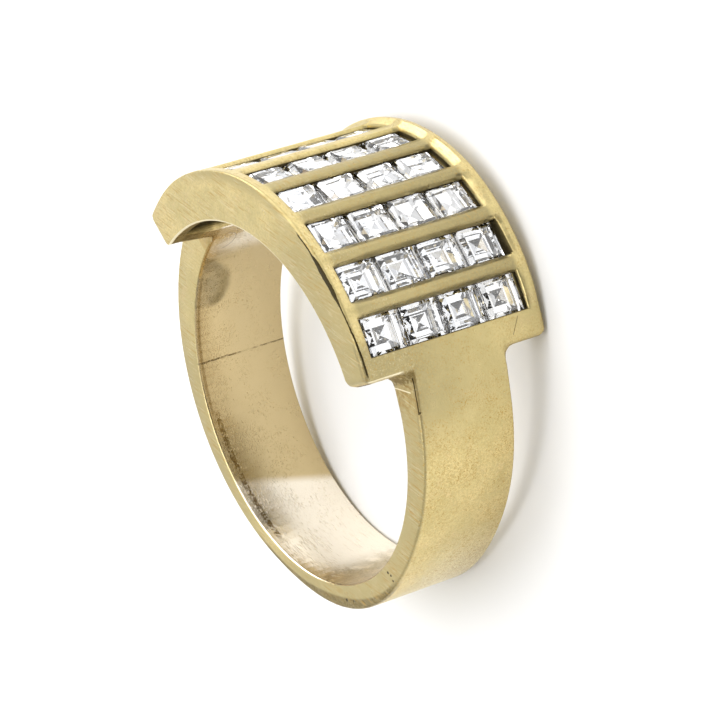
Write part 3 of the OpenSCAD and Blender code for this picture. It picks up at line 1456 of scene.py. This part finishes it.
    def inside_tone(self, place: RingPlace) -> Colour:
        """Mixes the inner colour: a warm beige that is painted shade, with painted highlights at the bottom
        and under the hidden end, an olive place beside the bottom, a painted reflection of the hidden wing
        and painted shade in the corner under it.

        Args:
            place: The coordinates in the upright ring.

        Returns:
            The colour.
        """
        theta, round_way, y = place.theta, place.round_way, place.y
        # Painted highlights: near-white at the bottom of the inside, and paler under the head's hidden end.
        low = (round_way + y * 1.8).fall(209.0, 213.0) * round_way.rise(158.0, 170.0)
        top = theta.near(-52.0, 9.0, 8.0) * y.rise(-2.28, -2.1) * 0.9
        mottle = place.noise(1.6, 3.0, 0.6).rise(0.35, 0.6)
        olive = round_way.rise(120.0, 140.0) * round_way.fall(162.0, 174.0) * mottle
        # Painted reflection of the hidden wing: an olive patch on the inside with a darker umber edge.
        bow = abs(theta + 80.0) * 0.095
        bowed = y + bow * bow
        wing = theta.near(-72.0, 14.0, 2.5) * bowed.fall(-0.85, -0.35)
        wing_rim = wing * bowed.near(-0.8, 0.1, 0.5) * theta.fall(-78.0, -70.0)
        # Painted shade: amber in the corner under the hidden wing.
        corner = theta.near(-66.5, 7.5, 2.0) * y.fall(-2.28, -2.12)
        return place.recipe.coats(
            self.inner,
            (strongest(low, top), self.inner_highlight),
            (olive * 0.55, self.inner_olive),
            (wing * (mottle * 0.4 + 0.6), self.inner_olive),
            (wing_rim * 0.45, self.umber),
            (corner * 0.75, self.amber),
        )

    def under_wing(self, place: RingPlace) -> Field:
        """Lays painted shade on the rim's underside at the head's hidden end.

        Args:
            place: The coordinates in the upright ring.

        Returns:
            The painted shade's mask.
        """
        s, rho, y = place.sizes, place.rho, place.y
        mottling = place.noise(2.2, 3.0, 0.6).rise(0.3, 0.6, 0.6, 1.0)
        at_end = place.theta.rise(-62.0, -58.0) * place.theta.fall(-25.0, -15.0)
        on_rim = rho.rise(s.finger_r + 0.03, s.finger_r + 0.08) * rho.fall(s.rim_r + 0.2, s.rim_r + 0.5)
        behind_front = y.rise(-s.head_w / 2 + 0.05, -s.head_w / 2 + 0.1) * y.fall(-2.8, -2.6)
        return at_end * on_rim * behind_front * y.rise(-3.7, -2.9, 1.0, 0.6) * mottling

    def painted_highlights(self, place: RingPlace) -> Field:
        """Finds the edges and the scratch that get painted highlights.

        Args:
            place: The coordinates in the upright ring.

        Returns:
            The painted highlights' mask.
        """
        s, theta, y = place.sizes, place.theta, place.y
        on_front = y.fall(-s.head_w / 2 + 0.04, -s.head_w / 2 + 0.08)
        rim = place.rho.near(s.rim_r + 0.03, 0.035, 0.02) * on_front * theta.near(0.0, 60.0, 1.0)
        at_end = theta.near(s.head_half + 0.25, 0.4, 0.2) * y.fall(-2.9, -2.6)
        end_edge = at_end * place.head_rho.rise(9.38, 9.45)
        slant = place.z - place.x * 0.292
        scratch = slant.near(2.233, 0.018, 0.025) * place.x.near(7.85, 0.62, 0.1) * y.near(-2.45, 0.2, 0.05)
        return strongest(rim, end_edge, scratch)

    def amber_line(self, place: RingPlace) -> Field:
        """Lays the speckled line along the inside's front edge.

        Args:
            place: The coordinates in the upright ring.

        Returns:
            The line's mask.
        """
        speckle = place.noise(7.0, 4.0, 0.8, 0.5).rise(0.44, 0.52)
        strong = place.theta.near(-145.0, 21.0, 5.0) * place.y.near(-1.93, 0.1, 0.06) * speckle
        thin = place.theta.near(-100.0, 20.0, 8.0) * place.y.near(-2.14, 0.03, 0.08) * 0.6
        return strongest(strong, thin) * place.on_inside

    def hairs(self, place: RingPlace, start: float) -> Field:
        """Lays fine hair scratches in several directions.

        Args:
            place: The coordinates in the upright ring.
            start: Where in the noise the scratches are taken from.

        Returns:
            The scratches' mask.
        """
        r = place.recipe
        layers = []
        for index, turn in enumerate(self.hair_turns):
            stretched = r.moved(place.vector, (3.1 * index + start, 1.7, start), turn, (0.8, 14.0, 14.0))
            turned = r.moved(place.vector, (5.0 * index, 0.0, 0.0), turn, (1.0, 1.0, 1.0))
            lines = r.noise(stretched, 1.0, 2.0, 0.5).rise(0.58, 0.68)
            layers.append(lines * r.noise(turned, 0.8).rise(0.45, 0.6))
        return strongest(*layers)

    def seats(self, place: RingPlace) -> Field:
        """Lays painted shade on the seats' walls under the windows' rims, in row 2's wider gap at the back,
        along the windows' lower edges and in a slit under the hidden side.

        Args:
            place: The coordinates in the upright ring.

        Returns:
            The painted shade's mask.
        """
        s, theta, y = place.sizes, place.theta, place.y
        over_rim = place.head_rho - s.head_r
        on_walls = over_rim.fall(-0.15, -0.09) * over_rim.rise(-0.45, -0.25)
        walls = on_walls * y.near(0.0, s.row_w / 2 + 0.18, 0.03) * theta.near(0.0, 52.0, 1.0)
        in_gap = place.head_theta.near(s.row_angle(2), s.window_half(), 0.2) * over_rim.fall(0.02, 0.06)
        wide_gap = in_gap * y.near(s.row_w / 2 + 0.08, 0.12, 0.03)
        round_rows = place.head_theta.wrap(s.row_pitch, 0.0)
        below = round_rows.near(s.row_pitch / 2 + s.window_half() + 0.08, 0.06, 0.14)
        lower_edges = below * y.near(0.0, s.row_w / 2, 0.03) * theta.near(0.0, 50.0, 1.0)
        in_slit = y.near(0.0, s.row_w / 2 + 0.02, 0.02) * theta.near(-34.0, 18.0, 4.0)
        slit = in_slit * place.rho.rise(s.rim_r + 0.08, s.rim_r + 0.2) * over_rim.fall(-0.7, -0.6)
        return strongest(walls, wide_gap, lower_edges * 0.8, slit * 0.75)

    def brown_under_end(self, place: RingPlace) -> Field:
        """Lays the rough brownish place on the shank's side under the head.

        Args:
            place: The coordinates in the upright ring.

        Returns:
            The brownish place's mask.
        """
        theta, y, front = place.theta, place.y, -place.sizes.shank_w / 2
        on_side = y.fall(front + 0.06, front + 0.2)
        mottling = place.noise(2.6, 5.0, 0.7, 0.4).rise(0.38, 0.6)
        thick = place.noise(5.0, 4.0, 0.75).rise(0.38, 0.56, 0.15, 1.0)
        below = theta.rise(55.6, 56.4) * theta.fall(62.0, 72.0) * y.rise(-3.2, -2.6)
        under_end = theta.near(57.2, 1.0, 1.0) * y.rise(-3.9, -3.4)
        return strongest(below * on_side * mottling, under_end * on_side * thick)

    def marks(self, place: RingPlace) -> Field:
        """Lays the hair seams, the solder seam, the scratches and the pits.

        Args:
            place: The coordinates in the upright ring.

        Returns:
            The dark marks' mask.
        """
        s, theta, y = place.sizes, place.theta, place.y
        wander = (place.noise(1.8, 4.0, 0.7) - 0.5) * 0.16
        over_head = place.head_rho - s.head_r
        from_head_edge = over_head + (y + s.head_w / 2) + wander - theta.rise(28.0, 54.0, -0.1, 0.15)
        reach = theta.near(30.0, 3.0, 5.0) * 0.11 + 0.04
        in_head_seam = (abs(from_head_edge) - reach).fall(0.0, 0.02)
        head_seam = in_head_seam * theta.near(35.5, 18.0, 1.5) * y.fall(-4.0, -3.9)
        from_shank_edge = over_head + (y + s.shank_w / 2) + 0.08 + wander * 0.3
        in_shank_seam = abs(from_shank_edge).fall(0.02, 0.045)
        shank_seam = in_shank_seam * theta.near(62.0, 4.2, 0.6) * y.near(-2.2, 0.22, 0.05)
        in_solder = (theta + wander * 4.0).near(-105.9, 0.06, 0.22)
        solder = in_solder * place.on_inside * place.noise(2.4).rise(0.35, 0.62, 0.12, 0.6)
        from_scratch = (theta - 53.1) * 0.11 + (y - 3.12)
        scratch = from_scratch.near(0.0, 0.008, 0.02) * theta.near(53.1, 1.8, 0.3) * y.near(3.1, 0.3, 0.1)
        loop = place.away(self.loop_centre).near(self.loop_r, 0.006, 0.02) * y.rise(-1.75, -1.3, 0.0, 0.3)
        pits = [place.away(pit.centre).fall(pit.radius, pit.radius + pit.soft) for pit in self.pits]
        return strongest(head_seam, shank_seam, solder, scratch * 0.6, loop, *pits)


@dataclass(frozen=True)
class DiamondFinish:
    """Clear diamond with mirror-smooth facets, a frosted girdle, and the faintest cool difference between
    stones.
    """

    girdle_mark: str
    index: float = 2.417
    clear: tuple = (1.0, 1.0, 1.0, 1)
    cool: tuple = (0.93, 0.955, 1.0, 1)
    frost: tuple = (0.3, 0.3, 0.3, 1)

    def make(self) -> bpy.types.Material:
        """Mixes the diamond.

        Returns:
            The diamond material.
        """
        r = Recipe(bpy.data.materials.new("step_cut_diamond"))
        place = r.coordinates()
        girdle = Field(r, r.node("Attribute", {}, attribute_name=self.girdle_mark).outputs["Fac"])
        veil = r.noise(place, 420.0, 2.0, 0.5).rise(0.4, 0.65)
        polish = r.noise(place, 3000.0).rise(0.4, 0.7, 0.0, 0.004)
        r.shade({
            "Base Color": r.coats(self.clear, (veil, self.cool), (girdle, self.frost)),
            "Roughness": polish + girdle * 0.5,
            "IOR": self.index,
            "Transmission Weight": 1.0,
        })
        return r.owner


@dataclass(frozen=True)
class FloorFinish:
    """Matt pale paper."""

    tone: tuple = (0.93, 0.93, 0.93, 1)
    shade: tuple = (0.9, 0.9, 0.9, 1)

    def make(self) -> bpy.types.Material:
        """Mixes the paper.

        Returns:
            The paper material.
        """
        r = Recipe(bpy.data.materials.new("pale_paper"))
        cloud = r.noise(r.coordinates(), 60.0, 4.0, 0.6).rise(0.3, 0.7)
        tone = r.coats(self.tone, (cloud, self.shade))
        r.shade({"Base Color": tone, "Roughness": 0.85, "Specular IOR Level": 0.15})
        return r.owner


@dataclass(frozen=True)
class Softbox:
    """One soft studio light, placed by its direction from the ring in the frame's axes."""

    name: str
    towards: tuple[float, float, float]
    distance: float
    width: float
    height: float
    radiance: float

    def hang(self) -> None:
        """Creates the light, facing the ring."""
        direction = Vector(self.towards).normalized()
        bpy.ops.object.light_add(type="AREA", location=direction * self.distance)
        lamp = bpy.context.object
        lamp.name = self.name
        lamp.rotation_euler = direction.to_track_quat("Z", "Y").to_euler()
        lamp.data.shape = "RECTANGLE"
        lamp.data.size = self.width
        lamp.data.size_y = self.height
        lamp.data.energy = self.radiance * math.pi * self.width * self.height


@dataclass(frozen=True)
class Studio:
    """The pale floor, the soft lights and the dim room, in metres."""

    floor_side: float = 3.0
    room_tone: float = 0.75
    dark_tone: float = 0.17
    dark_reach: tuple[float, float] = (0.83, 0.96)
    boxes: tuple[Softbox, ...] = (
        Softbox("overhead", (0.08, -0.05, 0.97), 0.5, 0.52, 0.52, 2.25),
        Softbox("past_head", (0.67, -0.6, 0.45), 0.5, 0.6, 0.3, 2.8),
        Softbox("past_shank", (0.706, 0.578, 0.42), 0.45, 0.44, 0.26, 0.36),
    )
    max_bounces: int = 18
    transmission_bounces: int = 16
    glossy_bounces: int = 10
    diffuse_bounces: int = 4
    light_clamp: float = 8.0

    def floor(self) -> None:
        """Lays the floor that the ring rests on."""
        bench = Bench.start(bpy.ops.mesh.primitive_plane_add, "floor", size=self.floor_side)
        bench.done()
        dress(bench.piece, FloorFinish().make())

    def room(self, dark_side: Vector) -> None:
        """Sets the room that fills the gaps between the lights, dark on one side.

        Args:
            dark_side: The direction of the room's dark side.
        """
        r = Recipe(bpy.data.worlds.new("room"), "Background")
        inputs = {0: r.coordinates("Generated"), 1: dark_side}
        facing = Field(r, r.node("VectorMath", inputs, operation="DOT_PRODUCT").outputs["Value"])
        r.shade({"Color": facing.rise(*self.dark_reach, self.room_tone, self.dark_tone)})
        bpy.context.scene.world = r.owner

    def build(self, dark_side: Vector) -> None:
        """Builds the whole studio and sets how its light is followed.

        Args:
            dark_side: The direction of the room's dark side.
        """
        self.floor()
        self.room(dark_side)
        for softbox in self.boxes:
            softbox.hang()
        scene = bpy.context.scene
        scene.view_settings.view_transform = "Standard"
        scene.cycles.max_bounces = self.max_bounces
        scene.cycles.transmission_bounces = self.transmission_bounces
        scene.cycles.glossy_bounces = self.glossy_bounces
        scene.cycles.diffuse_bounces = self.diffuse_bounces
        scene.cycles.sample_clamp_indirect = self.light_clamp


def dress(piece: bpy.types.Object, material: bpy.types.Material) -> None:
    """Gives a piece its one material and reports it.

    Args:
        piece: The finished piece.
        material: Its material.
    """
    piece.data.materials.clear()
    piece.data.materials.append(material)
    log.info("%s: %d faces of %s", piece.name, len(piece.data.polygons), material.name)


def main() -> None:
    """Builds the ring, its stones, the studio and the camera."""
    logging.basicConfig(level=logging.INFO, format="%(message)s")
    rest = Rest().matrix()
    band = GoldBand()
    dress(band.build(rest), GoldFinish().make(rest, band.sizes))
    rows = StoneRows(band.sizes)
    diamond = DiamondFinish(rows.girdle_mark).make()
    for stone in rows.build(rest):
        dress(stone, diamond)
    camera = Camera().place(rest)
    Studio().build(camera.location.normalized())


if __name__ == "__main__":
    main()
